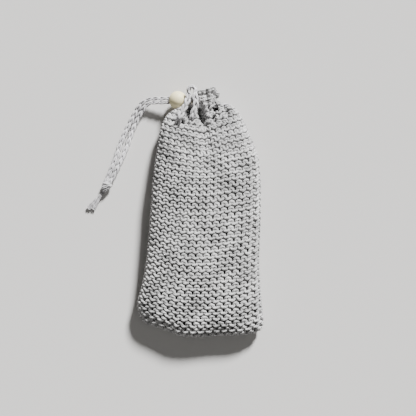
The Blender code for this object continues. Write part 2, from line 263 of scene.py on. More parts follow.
# The drawstring's runs behind the neck's fabric
RUN_POINTS = 40
RUN_TRIM = 40  # points of the neck's ring that are left off at each side
RUN_WIDTH = 0.93  # as a share of the neck's
RUN_SHIFT = 0.4  # to the right
RUN_DEPTH = 4.6  # how far a run's middle lies behind the fabric's
KNOT_CENTRE = (-81.7, 21.8, 3.9)
# The knot's turns: where each starts along the knot, half width, half height, pitch, yarn radius
KNOT_TURNS = (
    (-2.4, 2.35, 2.0, 0.5, 1.6),
    (-0.9, 2.9, 2.6, 0.9, 0.75),
    (0.6, 2.7, 2.4, 0.8, 0.75),
    (2.0, 2.3, 2.0, 0.8, 0.7),
    (3.2, 1.7, 1.5, 0.6, 0.65),
)
KNOT_SIDES = 12
TURN_POINTS = 60
TURN_START, TURN_END = -0.35 * math.pi, 1.45 * math.pi
KNOT_LUMP = 0.32  # how much fatter the first turn is at its lump, and how far round the lump reaches
LUMP_WIDTH = 0.5
CORE_POINTS = 24
CORE_HALF_LENGTH = 4.9
CORE_END_RADIUS = 1.3
CORE_SWELL = 1.1  # how much thicker the core is in its middle

# The cut ends of yarn: their tips' x and y, and their root's place ahead of and beside the knot's middle
YARN_END_TIPS = ((-97.6, 2.8), (-93.2, 2.2))
END_TIP_Z = 1.5
END_ROOT_AHEAD = 3.6
END_ROOT_ASIDE = 0.45
END_ROOT_Z = 2.6
END_BOW = 0.5  # how far an end bows out in its middle
END_POINTS = 26
# Their fibres, twisted together at the root and fanned out at the tip
FIBRES = 13
FIBRE_SIDES = 6
FIBRE_RADIUS = 0.40
FIBRE_FRAY = 0.04  # how much thicker a fibre is at its tip
FIBRE_TWIST = 2.4  # how far a fibre turns round the others, and how far its start strays, in radians
FIBRE_JITTER = 0.25
INNER_RING, OUTER_RING = 0.4, 1.0  # half the fibres lie in each ring
FAN_ROOT = 0.62  # the outer ring's radius at the root, what the tip adds, and how late it opens
FAN_GROWTH = 0.75
FAN_LATENESS = 1.3
FAN_WIDENING = 0.25  # how much wider the tip is than that
FAN_HEIGHT = 0.9  # the fan's height as a share of its width, and how much of it is lost at the tip
FAN_FLATTENING = 0.35
UNEVEN_TIPS = 0.6  # how much shorter a fibre can be than the longest

# The sewing along the sides: a yarn that swings up and down once, and in and out twice, in two courses
SIDE_SEWING_RADIUS = 1.0
SIDE_SEWING_START = 4.0  # above the bottom edge
SIDE_SEWING_END = 4.5  # below the drawstring
SIDE_SEWING_INSET = 1.5
SIDE_SWING = 1.5  # up and down
SIDE_LIFT = 0.6  # in and out
SIDE_SEWING_POINTS = 6  # to a course
# And along the bottom, where it goes over the edge between front and back
BOTTOM_SEWING_RADIUS = 1.15
BOTTOM_STITCH = 6.5
BOTTOM_SWING = 3.9  # up and down
BOTTOM_RISE = 2.3  # how far its middle is above the middle of the edge
BOTTOM_SEWING_INSET = 2.0
BOTTOM_BULGE = 2.0  # how far it comes out over the edge
BOTTOM_SEWING_MARGINS = (3.0, 2.0)  # left bare at the left and right ends
BOTTOM_SEWING_STEP = 0.6

# Colours, and how strongly each texture tells
CORD_COLOUR = (0.53, 0.52, 0.53)
COTTON_COLOUR = (0.40, 0.397, 0.394)
WOOD_COLOUR = (0.80, 0.72, 0.44)
FLOOR_COLOUR = (0.58, 0.57, 0.556)
PLIES = 3
PLY_TWIST = 5.0  # length of yarn in which each ply moves on to the next one's place
# Painted shade and highlight: how much darker the colour is in the grooves between the plies, and lighter on
# their crowns
PLY_SHADE = 0.10
FIBRE_TONE = 0.25
FIBRE_HEIGHT = 0.5
PORE_TONE = 0.55
RING_TONE = 0.14
RING_SWAY = 0.0012

# The camera, which looks straight down, and the floor, in metres
LOOK_AT = (0.0064, 0.0034, 0.014)
CAMERA_DISTANCE = 0.70
SEEN_WIDTH = 0.3536  # width of the picture at that distance
SENSOR_WIDTH = 36.0  # in millimetres, as Blender has it
FLOOR_REACH = 20.0
FLOOR_DROP = 0.0003  # how far below the pouch it is

# One chain stitch: how far along, to the side and up its yarn is, as shares of the stitch and the spread.
CHAIN_STITCH = (
    (0.00, -0.25, -0.35),
    (0.22, -0.45, 0.45),
    (0.58, -0.88, 0.85),
    (0.95, -1.08, 0.55),
    (1.20, -0.80, -0.05),
    (1.30, 0.00, -0.35),
    (1.20, 0.80, -0.05),
    (0.95, 1.08, 0.55),
    (0.58, 0.88, 0.85),
    (0.22, 0.45, 0.45),
    (0.00, 0.25, -0.35),
    (0.50, 0.00, -1.00),
)


def smooth_through(points, at):
    """Rows on one smooth curve through the given rows, whose first column is what it runs along."""
    rows = np.array(points, float)
    keys = rows[:, 0]
    at = np.atleast_1d(np.asarray(at, float))
    slopes = np.gradient(rows, keys, axis=0)
    i = np.clip(np.searchsorted(keys, at) - 1, 0, len(keys) - 2)
    span = keys[i + 1] - keys[i]
    t = np.clip((at - keys[i]) / span, 0.0, 1.0)[:, None]
    span = span[:, None]
    start = (1 + 2 * t) * (1 - t) ** 2 * rows[i] + t * (1 - t) ** 2 * span * slopes[i]
    end = t * t * (3 - 2 * t) * rows[i + 1] + t * t * (t - 1) * span * slopes[i + 1]
    return start + end


def spline(points, per_span):
    """A dense, smooth line through rows of points."""
    rows = np.asarray(points, float)
    padded = np.vstack([2 * rows[0] - rows[1], rows, 2 * rows[-1] - rows[-2]])
    t = np.arange(per_span)[:, None] / per_span
    spans = []
    for p0, p1, p2, p3 in zip(padded[:-3], padded[1:-2], padded[2:-1], padded[3:], strict=True):
        square = 2 * p0 - 5 * p1 + 4 * p2 - p3
        cube = 3 * p1 - p0 - 3 * p2 + p3
        spans.append(0.5 * (2 * p1 + (p2 - p0) * t + square * t**2 + cube * t**3))
    return np.vstack([*spans, rows[-1:]])


def unit(rows):
    """Each row as a direction, one long."""
    return rows / (np.linalg.norm(rows, axis=-1)[..., None] + 1e-12)


def lengths(line):
    """How far along a line each of its points is."""
    return np.concatenate([[0.0], np.cumsum(np.linalg.norm(np.diff(line, axis=0), axis=1))])


def evenly(line, count):
    """The same line with its points evenly spread."""
    along = lengths(line)
    even = np.linspace(0.0, along[-1], count)
    return np.column_stack([np.interp(even, along, line[:, k]) for k in range(line.shape[1])])


def route(points, count):
    """Evenly spread points on a smooth curve through a cord's own points, as the CAD model has them."""
    line = np.array(points, float)
    along = lengths(line)
    return smooth_through(np.column_stack([along, line]), np.linspace(0.0, along[-1], count))[:, 1:]


def ramp(value):
    """0 below 0, 1 above 1 and smooth between."""
    t = np.clip(value, 0.0, 1.0)
    return t * t * (3 - 2 * t)


def rounded(value, power):
    """A power that keeps the value's sign."""
    return np.sign(value) * np.abs(value) ** power


def smooth_noise(rng, a, b, low, high, count=5):
    """A random wave over two coordinates, about 1 high, with waves between low and high per unit."""
    total = 0.0
    for _ in range(count):
        across, up = rng.uniform(low, high, 2) * rng.choice([-1, 1], 2) * math.tau
        total = total + np.sin(across * a + up * b + rng.uniform(0, math.tau))
    return total / math.sqrt(count)


# Yarn meshes


def end_cap(ring, flip):
    """The quads that close a yarn's cut end."""
    order = ring if flip else ring[::-1]
    return np.array([[order[0], order[i], order[i + 1], order[i + 2]] for i in range(1, len(order) - 2, 2)])


def tubes(name, lines, ups, radii, sides, material):
    """One mesh of round yarns along rows of points. ups gives each point a direction off the yarn's side."""
    places, quads, uvs = [], [], []
    turn = np.linspace(0.0, math.tau, sides, endpoint=False)
    start = 0
    for line, up, size in zip(lines, ups, radii, strict=True):
        count = len(line)
        along = unit(np.gradient(line, axis=0))
        side = unit(np.cross(along, up))
        top = np.cross(side, along)
        size = np.broadcast_to(size, (count,))[:, None, None]
        cos, sin = np.cos(turn)[None, :, None], np.sin(turn)[None, :, None]
        spoke = cos * top[:, None, :] + sin * side[:, None, :]
        places.append((line[:, None, :] + spoke * size).reshape(-1, 3))
        i = np.arange(count - 1)[:, None]
        k = np.arange(sides)[None, :]
        next_k = (k + 1) % sides
        ring, next_ring = i * sides, (i + 1) * sides
        quad = np.stack([ring + k, ring + next_k, next_ring + next_k, next_ring + k], axis=-1)
        quads.append(quad.reshape(-1, 4) + start)
        travelled = lengths(line)
        u0, u1 = travelled[:-1][:, None] + 0 * k, travelled[1:][:, None] + 0 * k
        v0, v1 = k / sides + 0 * i, (k + 1) / sides + 0 * i
        corners = [np.stack(pair, axis=-1) for pair in ((u0, v0), (u0, v1), (u1, v1), (u1, v0))]
        uvs.append(np.stack(corners, axis=-2).reshape(-1, 2))
        for ring_start, flip in ((start, True), (start + (count - 1) * sides, False)):
            cap = end_cap(np.arange(sides) + ring_start, flip)
            quads.append(cap)
            uvs.append(np.full((cap.size, 2), 0.5))
        start += count * sides
    return mesh_of(name, np.concatenate(places), np.concatenate(quads), np.concatenate(uvs), material)


def mesh_of(name, places, quads, uvs, material):
    """A mesh object in metres. uvs has a row for each corner of each quad."""
    mesh = bpy.data.meshes.new(name)
    mesh.vertices.add(len(places))
    mesh.vertices.foreach_set("co", (places * MM).reshape(-1))
    mesh.loops.add(quads.size)
    mesh.loops.foreach_set("vertex_index", quads.reshape(-1))
    mesh.polygons.add(len(quads))
    mesh.polygons.foreach_set("loop_start", np.arange(len(quads)) * 4)
    mesh.update(calc_edges=True)
    layer = mesh.uv_layers.new(name="yarn")
    layer.data.foreach_set("uv", uvs.reshape(-1))
    mesh.validate()
    mesh.shade_smooth()
    mesh.materials.append(material)
    made = bpy.data.objects.new(name, mesh)
    bpy.context.collection.objects.link(made)
    return made


def chain(path, up, spread, radius, stitch=CHAIN_STITCH_LENGTH):
    """The yarn of a crocheted chain along a path. up, spread and radius have a row for each path point."""
    along = lengths(path)
    stitches = max(int(round(along[-1] / stitch)), 2)
    marks = np.array([(k + a, x, z) for k in range(stitches) for a, x, z in CHAIN_STITCH])
    marks = spline(marks, CHAIN_STEPS)
    place = np.clip(marks[:, 0] / stitches, 0.0, 1.0) * along[-1]
    tangent = unit(np.gradient(path, axis=0))
    side = unit(np.cross(tangent, up))
    top = np.cross(side, tangent)

    def at(rows):
        return np.column_stack([np.interp(place, along, rows[:, k]) for k in range(3)])

    wide = np.interp(place, along, spread)[:, None]
    line = at(path) + at(side) * marks[:, 1:2] * wide + at(top) * marks[:, 2:3] * wide * CHAIN_FLATNESS
    return line, at(top), np.interp(place, along, radius)


def chain_piece(name, path, up, material, spread=CHAIN_SPREAD, radius=CHAIN_RADIUS, **stitch):
    """A crocheted chain along a path. up, spread and radius are rows, or one value for the whole path."""
    count = len(path)
    up = np.broadcast_to(up, (count, 3))
    spread = np.broadcast_to(spread, (count,))
    radius = np.broadcast_to(radius, (count,))
    line, top, sizes = chain(path, up, spread, radius, **stitch)
    return tubes(name, [line], [top], [sizes], YARN_SIDES, material)


# The fabric


def fold_depth(x, y, folds):
    """How deep the folds push the fabric in at each x, on one level y."""
    depth = np.zeros_like(x)
    for low_x, low_y, waist_x, waist_y, deepest, half_width, rim_depth in folds:
        middle = low_x + (waist_x - low_x) * (y - low_y) / (waist_y - low_y)
        deepened = ramp((y - low_y) / FOLD_START)
        loosened = ramp((y - waist_y) / FOLD_START)
        deep = deepest * deepened + (rim_depth - deepest) * loosened
        depth = depth + deep * np.exp(-(np.abs((x - middle) / half_width) ** FOLD_SHARPNESS))
    return depth


def parted(line, openings):
    """A yarn moved aside from the openings and turned down at their edges, and where it is cut in two."""
    line = line.copy()
    cut = np.zeros(len(line) - 1, bool)
    for x0, y0, x1, y1, half_width in openings:
        start, end = np.array([x0, y0]), np.array([x1, y1])
        half_length = np.linalg.norm(end - start) / 2
        ahead = (end - start) / (2 * half_length)
        aside = np.array([-ahead[1], ahead[0]])
        offset = line[:, :2] - (start + end) / 2
        share = np.clip(1 - (offset @ ahead / half_length) ** 2, 0.0, 1.0)
        width = half_width * np.sqrt(share)
        off = offset @ aside
        reach = half_width + OPENING_REACH
        pushed = np.sign(off) * width * np.clip(1 - np.abs(off) / reach, 0.0, 1.0)
        line[:, :2] += pushed[:, None] * aside
        line[:, 2] -= TURN_DOWN * np.sqrt(share) * np.clip(1 - np.abs(off) / TURN_DOWN_WIDTH, 0.0, 1.0) ** 2
        crossing = np.sign(off[:-1]) != np.sign(off[1:])
        cut |= crossing & (np.minimum(share[:-1], share[1:]) > LEAST_CUT)
    return line, cut


def half_ring(y, side, folds):
    """The middle of the front's (side 1) or back's (side -1) fabric on one level, from left to right."""
    left, right, height = smooth_through(SECTIONS, y)[0][1:]
    middle_depth = fabric_middle(y)
    angle = np.linspace(math.pi, 0.0, RING_POINTS)
    power = 2 / (ROUNDNESS if side > 0 else FLAT_ROUNDNESS)
    half_width = (right - left) / 2 - middle_depth
    half_height = max(height / 2 - middle_depth + (REST_SAG if side < 0 else 0.0), FLATTEST_HALF)
    x = (left + right) / 2 + half_width * rounded(np.cos(angle), power)
    z = height / 2 + side * half_height * np.sin(angle) ** power
    if side < 0:
        z = np.maximum(z, middle_depth)
    ring = evenly(np.column_stack([x, z]), RING_POINTS)
    share = np.linspace(0.0, 1.0, RING_POINTS)
    along = unit(np.gradient(ring, axis=0))
    outward = np.column_stack([-along[:, 1], along[:, 0]]) * side
    edge = np.sin(math.pi * share) ** EDGE_FADE
    ring = ring - outward * (fold_depth(ring[:, 0], y, folds) * edge)[:, None]
    if side < 0:
        ring[:, 1] = np.maximum(ring[:, 1], middle_depth)
    return ring


def gathered(y):
    """How far the fabric is drawn together at a level, from 0 to 1."""
    return ramp((y - GATHER_START_Y) / (WAIST_Y - GATHER_START_Y))


def fabric_middle(y):
    """The depth of the fabric's middle below its outer face, which is less where it is drawn together."""
    squeeze = gathered(y)
    return LOOP_DEPTH * (1 - NECK_FLATTENING * squeeze) + YARN_RADIUS * (1 - NECK_SQUEEZE * squeeze)


def line_height(line, x):
    """The height at each x of a line that is given as rows of x and height."""
    return smooth_through(line, np.clip(x, line[0][0], line[-1][0]).ravel())[:, 1].reshape(x.shape)


def shaped(levels, side, columns, folds, rim):
    """The fabric's middle on each level and column, with the bottom and the rim at their own heights."""
    grid = np.empty((len(levels), columns, 3))
    for row, y in enumerate(levels):
        ring = evenly(half_ring(y, side, folds), columns)
        grid[row] = np.column_stack([ring[:, 0], np.full(columns, y), ring[:, 1]])
    x, y = grid[..., 0], grid[..., 1].copy()
    grid[..., 1] += line_height(BOTTOM_LIFT, x) * ramp(1 - (y - BOTTOM_Y) / LIFT_FADE)
    grid[..., 1] += (line_height(rim, x) - TOP_Y) * ramp((y - TOP_Y + RIM_STRETCH) / RIM_STRETCH)
    return grid


class Fabric:
    """One side of the pouch as a smooth surface over (stitch, course)."""

    def __init__(self, side, folds, openings, rim, rng):
        self.openings = openings
        columns = STITCHES * COLUMNS_PER_STITCH + 1
        levels = np.linspace(BOTTOM_Y + YARN_RADIUS, TOP_Y, LEVELS)
        grid = shaped(levels, side, columns, folds, rim)
        rows = self.spread_rows(shaped(levels, side, columns, (), rim))
        low = np.clip(rows.astype(int), 0, LEVELS - 2)
        part = (rows - low)[..., None]
        column = np.arange(columns)[None, :]
        self.grid = grid[low, column] * (1 - part) + grid[low + 1, column] * part
        if side > 0:
            self.sag()
        normal = unit(np.cross(np.gradient(self.grid, axis=1), np.gradient(self.grid, axis=0)))
        self.normal = normal * side
        if side > 0:
            self.swell(rng)

    def spread_rows(self, unfolded):
        """Counts the courses, and gives each row's level in each column, so that they are evenly spread."""
        columns = unfolded.shape[1]
        steps = np.linalg.norm(np.diff(unfolded, axis=0), axis=2)
        along = np.vstack([np.zeros((1, columns)), np.cumsum(steps, axis=0)])
        self.courses = int(round(np.median(along[-1]) / COURSE))
        wanted = np.linspace(0.0, 1.0, self.courses * ROWS_PER_COURSE + 1)
        rows = np.column_stack([np.interp(wanted * a[-1], a, np.arange(len(a))) for a in along.T])
        window = 2 * SMOOTHING_REACH + 1
        for _ in range(SMOOTHINGS):
            padded = np.pad(rows, ((0, 0), (SMOOTHING_REACH, SMOOTHING_REACH)), mode="edge")
            rows = sum(padded[:, k : k + columns] for k in range(window)) / window
        return rows

    def sag(self):
        """Draws the courses down in the middle of the front, below the slits."""
        x, y, depth, half_width, half_height = FRONT_SAG
        away = ((self.grid[..., 0] - x) / half_width) ** 2 + ((self.grid[..., 1] - y) / half_height) ** 2
        self.grid[..., 1] -= depth * np.exp(-away)

    def swell(self, rng):
        """Slow, random dips and swells, which fade towards the sides."""
        share = np.linspace(0.0, 1.0, self.grid.shape[1])[None, :]
        bumps = smooth_noise(rng, self.grid[..., 0], self.grid[..., 1], FEWEST_WAVES, MOST_WAVES)
        self.grid = self.grid + self.normal * (SWELLING * bumps * np.sin(math.pi * share))[..., None]

    def at(self, stitch, course):
        """The fabric's middle and its outward normal at each (stitch, course)."""
        rows, columns = self.grid.shape[:2]
        u = np.clip(stitch / STITCHES, 0.0, 1.0) * (columns - 1)
        v = np.clip(course / self.courses, 0.0, 1.0) * (rows - 1)
        i = np.clip(u.astype(int), 0, columns - 2)
        j = np.clip(v.astype(int), 0, rows - 2)
        a, b = (u - i)[..., None], (v - j)[..., None]

        def mix(table):
            low = table[j, i] * (1 - a) + table[j, i + 1] * a
            high = table[j + 1, i] * (1 - a) + table[j + 1, i + 1] * a
            return low * (1 - b) + high * b

        return mix(self.grid), unit(mix(self.normal))

    def course_at_y(self, y):
        """The first course that lies wholly past y, in the middle of the panel."""
        middles = self.at(np.full(self.courses, STITCHES / 2), np.arange(self.courses, dtype=float))[0]
        return int(np.searchsorted(middles[:, 1], y))

    def garter(self, first, last, rng):
        """The yarn of each course from first to last, its outward normal and its radius."""
        lines, ups, radii = [], [], []
        t = np.linspace(0.0, math.tau * STITCHES, STITCHES * SAMPLES + 1)
        loop = (t / math.tau).astype(int).clip(0, STITCHES - 1)
        marks = np.arange(STITCHES + 2) - 0.5
        for course in range(first, last):
            facing = 1 if course % 2 == 0 else -1
            swing = LOOP_SWING * np.sin(2 * t) + LOOP_FOOT * np.sin(t)
            height = self.at(np.array([STITCHES / 2]), np.array([float(course)]))[0][0, 1]
            uneven = 1 + NECK_JITTER * gathered(height)
            tall = 1 + rng.normal(0.0, UNEVEN_HEIGHT, STITCHES)[loop] * uneven
            drift = np.interp(t / math.tau, marks, rng.normal(0.0, UNEVEN_COURSE, STITCHES + 2)) * uneven
            sway = np.interp(t / math.tau, marks, rng.normal(0.0, UNEVEN_STITCH, STITCHES + 2)) * uneven
            # up is -1 at a loop's foot and 1 at its head; near is 1 at whichever of them is on the near side
            up = -np.cos(t)
            near = (up**2 + facing * up) / 2
            near = near * (1 + LOOP_FULLNESS * (1 - near))
            rise = facing * near * (HEAD_REACH if facing > 0 else FOOT_REACH) * tall / COURSE
            middle, normal = self.at((t + swing) / math.tau + sway, course + 0.5 + drift + rise)
            squeeze = gathered(middle[:, 1])
            depth = facing * (LOOP_DEPTH * up - CROSSING * np.sin(t) ** 2) * (1 - NECK_FLATTENING * squeeze)
            line, cut = parted(middle + normal * depth[:, None], self.openings)
            radius = YARN_RADIUS * (1 - NECK_SQUEEZE * squeeze)
            stops = np.flatnonzero(cut) + 1
            for table, whole in ((lines, line), (ups, normal), (radii, radius)):
                table.extend(part for part in np.split(whole, stops) if len(part) > SHORTEST_YARN)
        return lines, ups, radii

    def rim(self):
        """The line along the last course, and its outward normal."""
        return self.at(np.linspace(0.0, STITCHES, RIM_POINTS), np.full(RIM_POINTS, float(self.courses)))


# The drawstring and what is on it


def strand_line():
    """The line that both strands lie along: straight down the bead's bore, then free."""
    x0, y0, z0 = BEAD_CENTRE
    straight = [(x, y0, z0 + (x - x0) * math.tan(BORE_TILT)) for x in STRAIGHT_XS]
    return straight + list(FREE_LINE)


def strand_route(side):
    """One strand's middle, and how far it has swollen from its squeezed width (0) to its own (1)."""
    line = spline(route(strand_line(), CAD_STRAND_POINTS), SPLINE_STEPS)
    into_knot = line[-1] + (np.array(KNOT_CENTRE) - line[-1]) * STRAND_IN_KNOT
    middle = evenly(np.vstack([line, into_knot]), STRAND_POINTS)
    along = unit(np.gradient(middle, axis=0))
    across = unit(np.column_stack([-along[:, 1], along[:, 0], np.zeros(len(along))]))
    share = np.linspace(0.0, 1.0, len(middle))
    swell = ramp((share - SWELL_START) / (SWELL_END - SWELL_START))
    bow = STRAND_PARTING * np.exp(-(((share - STRAND_PARTING_AT) / STRAND_PARTING_SPAN) ** 2))
    offset = SQUEEZED_OFFSET + (STRAND_OFFSET - SQUEEZED_OFFSET) * swell + bow
    offset = offset * (1 - STRAND_CLOSING * ramp((share - STRAND_CLOSING_AT) / (1 - STRAND_CLOSING_AT)))
    return middle - side * across * offset[:, None], swell


def make_strand(name, side, material):
    """One of the two strands, and the path of its middle."""
    path, swell = strand_route(side)
    spread = SQUEEZED_SPREAD + (CHAIN_SPREAD - SQUEEZED_SPREAD) * swell
    radius = SQUEEZED_YARN + (CHAIN_RADIUS - SQUEEZED_YARN) * swell
    return chain_piece(name, path, (0.0, 0.0, 1.0), material, spread, radius), path


def knot_heading():
    """The level direction in which the strands run into the knot."""
    ahead = np.array(KNOT_CENTRE) - np.array(FREE_LINE[-1])
    ahead[2] = 0.0
    return unit(ahead)


def make_knot(name, material):
    """A fat turn of the strands with a lump at its end, then thin turns of yarn below it, over a core."""
    ahead = knot_heading()
    side = np.array([-ahead[1], ahead[0], 0.0])
    up = np.array([0.0, 0.0, 1.0])
    centre = np.array(KNOT_CENTRE)
    share = np.linspace(-1.0, 1.0, CORE_POINTS)
    core = centre + ahead * (share * CORE_HALF_LENGTH)[:, None]
    lines, ups = [core], [np.tile(up, (len(core), 1))]
    radii = [CORE_END_RADIUS + CORE_SWELL * np.sqrt(1 - share**2)]
    turn = np.linspace(TURN_START, TURN_END, TURN_POINTS)
    lump = 1 + KNOT_LUMP * np.exp(-((turn / LUMP_WIDTH) ** 2))
    for first, width, height, rise, thickness in KNOT_TURNS:
        along = first + rise * turn / math.pi
        line = centre + ahead * along[:, None]
        line = line + side * (width * np.cos(turn))[:, None] + up * (height * np.sin(turn))[:, None]
        lines.append(line)
        ups.append(unit(line - centre - ahead * along[:, None]))
        radii.append(thickness * (lump if thickness > CHAIN_RADIUS else 1.0))
    return tubes(name, lines, ups, radii, KNOT_SIDES, material)


def make_yarn_end(name, side_sign, tip, rng, material):
    """A cut end of yarn: fibres twisted together at the knot and fanned out at the tip."""
    ahead = knot_heading()
    side = np.array([-ahead[1], ahead[0], 0.0])
    root = np.array(KNOT_CENTRE) + ahead * END_ROOT_AHEAD - side_sign * side * END_ROOT_ASIDE
    root[2] = END_ROOT_Z
    end = np.array([*tip, END_TIP_Z])
    share = np.linspace(0.0, 1.0, END_POINTS)
    bow = side * (END_BOW * side_sign * np.sin(math.pi * share))[:, None]
    middle = root + (end - root) * share[:, None] + bow
    up = np.array([0.0, 0.0, 1.0])
    ahead = unit(end - root)
    across = unit(np.cross(ahead, up))
    lines, ups, radii = [], [], []
    for fibre in range(FIBRES):
        # The fibres go round twice, first in the inner ring and then in the outer one
        jitter = rng.uniform(-FIBRE_JITTER, FIBRE_JITTER)
        turn = math.tau * fibre / FIBRES * 2 + share * FIBRE_TWIST + jitter
        ring = OUTER_RING if fibre >= FIBRES / 2 else INNER_RING
        out = ring * (FAN_ROOT + FAN_GROWTH * share**FAN_LATENESS)
        line = middle + across * (np.cos(turn) * out * (1 + FAN_WIDENING * share))[:, None]
        line = line + up * (np.sin(turn) * out * (FAN_HEIGHT - FAN_FLATTENING * share))[:, None]
        line = line + ahead * (rng.uniform(-UNEVEN_TIPS, 0.0) * share)[:, None]
        line[:, 2] = np.maximum(line[:, 2], FIBRE_RADIUS)
        lines.append(line)
        ups.append(np.tile(up, (len(line), 1)))
        radii.append(FIBRE_RADIUS + FIBRE_FRAY * share)
    return tubes(name, lines, ups, radii, FIBRE_SIDES, material)


def bead_profile():
    """The bead's outline in (along, from the axis): over the ball, then round the bore's eased mouths."""
    half_length = math.sqrt(BEAD_RADIUS**2 - (BEAD_BORE_RADIUS + BEAD_EASE) ** 2)
    first = math.acos(half_length / BEAD_RADIUS)
    ball = np.linspace(first, math.pi - first, BEAD_STEPS)
    profile = [(BEAD_RADIUS * math.cos(a), BEAD_RADIUS * math.sin(a)) for a in ball]
    for end, start, stop in ((-1, EASE_START, 0.5), (1, 0.5, 1 - EASE_START)):
        for a in np.linspace(start, stop, EASE_STEPS) * math.pi:
            along = end * (half_length - BEAD_EASE * (1 + end * math.cos(a)) * EASE_REACH)
            profile.append((along, BEAD_BORE_RADIUS + BEAD_EASE * (1 - math.sin(a))))
    return np.array(profile)


def make_bead(name, material):
    """A turned ball with a bore, its mouths eased by sanding."""
    along, out = bead_profile().T[..., None]
    turn = np.linspace(0.0, math.tau, BEAD_SIDES, endpoint=False)
    x, y, z = along + 0 * turn, out * np.cos(turn), out * np.sin(turn)
    cos, sin = math.cos(BORE_TILT), math.sin(BORE_TILT)
    ring = np.stack([x * cos - z * sin, y, x * sin + z * cos], axis=-1)
    places = (ring + np.array(BEAD_CENTRE)).reshape(-1, 3)
    i, k = np.arange(len(along))[:, None], np.arange(BEAD_SIDES)[None, :]
    ring_start, next_start = i * BEAD_SIDES, (i + 1) % len(along) * BEAD_SIDES
    next_k = (k + 1) % BEAD_SIDES
    quads = np.stack([ring_start + k, next_start + k, next_start + next_k, ring_start + next_k], axis=-1)
    quads = quads.reshape(-1, 4)
    return mesh_of(name, places, quads, np.zeros((quads.size, 2)), material)


# Materials


class Nodes:
    """Short names for building a material's nodes."""

    def __init__(self, name):
        self.material = bpy.data.materials.new(name)
        self.material.use_nodes = True
        self.tree = self.material.node_tree
        self.shader = self.tree.nodes["Principled BSDF"]

    def add(self, kind, inputs=None, **settings):
        made = self.tree.nodes.new(kind)
        for key, value in settings.items():
            setattr(made, key, value)
        for key, value in (inputs or {}).items():
            if isinstance(value, bpy.types.NodeSocket):
                self.tree.links.new(value, made.inputs[key])
            else:
                made.inputs[key].default_value = value
        return made

    def math(self, operation, a, b=0.0, c=0.0):
        return self.add("ShaderNodeMath", {0: a, 1: b, 2: c}, operation=operation).outputs[0]

    def vector(self, operation, inputs):
        return self.add("ShaderNodeVectorMath", inputs, operation=operation).outputs[0]

    def ramp(self, factor, *stops):
        made = self.add("ShaderNodeValToRGB", {0: factor})
        elements = made.color_ramp.elements
        while len(elements) < len(stops):
            elements.new(0.5)
        for element, (position, colour) in zip(elements, stops, strict=True):
            element.position = position
            element.color = (*colour, 1.0)
        return made.outputs[0]

    def link(self, output, name):
        self.tree.links.new(output, self.shader.inputs[name])


def shade(colour, factor):
    """The colour made lighter or darker."""
    return tuple(min(c * factor, 1.0) for c in colour)


def cotton_material(name, colour):
    """Soft plied cotton: the plies wind round the yarn, with fine fibres over them."""
    nodes = Nodes(name)
    nodes.shader.inputs["Sheen Weight"].default_value = 0.22
    nodes.shader.inputs["Sheen Roughness"].default_value = 0.5
    yarn = nodes.add("ShaderNodeUVMap", uv_map="yarn").outputs[0]
    split = nodes.add("ShaderNodeSeparateXYZ", {0: yarn})
    around = nodes.math("MULTIPLY", split.outputs["Y"], PLIES * math.tau)
    phase = nodes.math("MULTIPLY_ADD", split.outputs["X"], math.tau / PLY_TWIST, around)
    ply = nodes.math("ABSOLUTE", nodes.math("SINE", nodes.math("MULTIPLY", phase, 0.5)))
    place = nodes.add("ShaderNodeTexCoord").outputs["Object"]
    fine = {"Vector": place, "Scale": 2400.0, "Detail": 4.0, "Roughness": 0.6}
    fibre = nodes.add("ShaderNodeTexNoise", fine).outputs["Fac"]
    patch = nodes.add("ShaderNodeTexNoise", {"Vector": place, "Scale": 70.0, "Detail": 2.0})
    # The ply term is painted shade and highlight: darker colour in the grooves between the plies, lighter on
    # their crowns; the patch and fibre terms are random tone
    tone_and_ply_shade = nodes.math("MULTIPLY_ADD", ply, PLY_SHADE, patch.outputs["Fac"])
    tone_and_ply_shade = nodes.math("MULTIPLY_ADD", fibre, FIBRE_TONE, tone_and_ply_shade)
    dark, plain, light = shade(colour, 0.60), shade(colour, 0.97), shade(colour, 1.4)
    nodes.link(nodes.ramp(tone_and_ply_shade, (0.42, dark), (0.64, plain), (0.85, light)), "Base Color")
    height = nodes.math("MULTIPLY_ADD", fibre, FIBRE_HEIGHT, ply)
    bump = nodes.add("ShaderNodeBump", {"Strength": 0.9, "Distance": 0.0006, "Height": height})
    nodes.link(bump.outputs[0], "Normal")
    nodes.link(nodes.math("MULTIPLY_ADD", fibre, 0.15, 0.8), "Roughness")
    return nodes.material


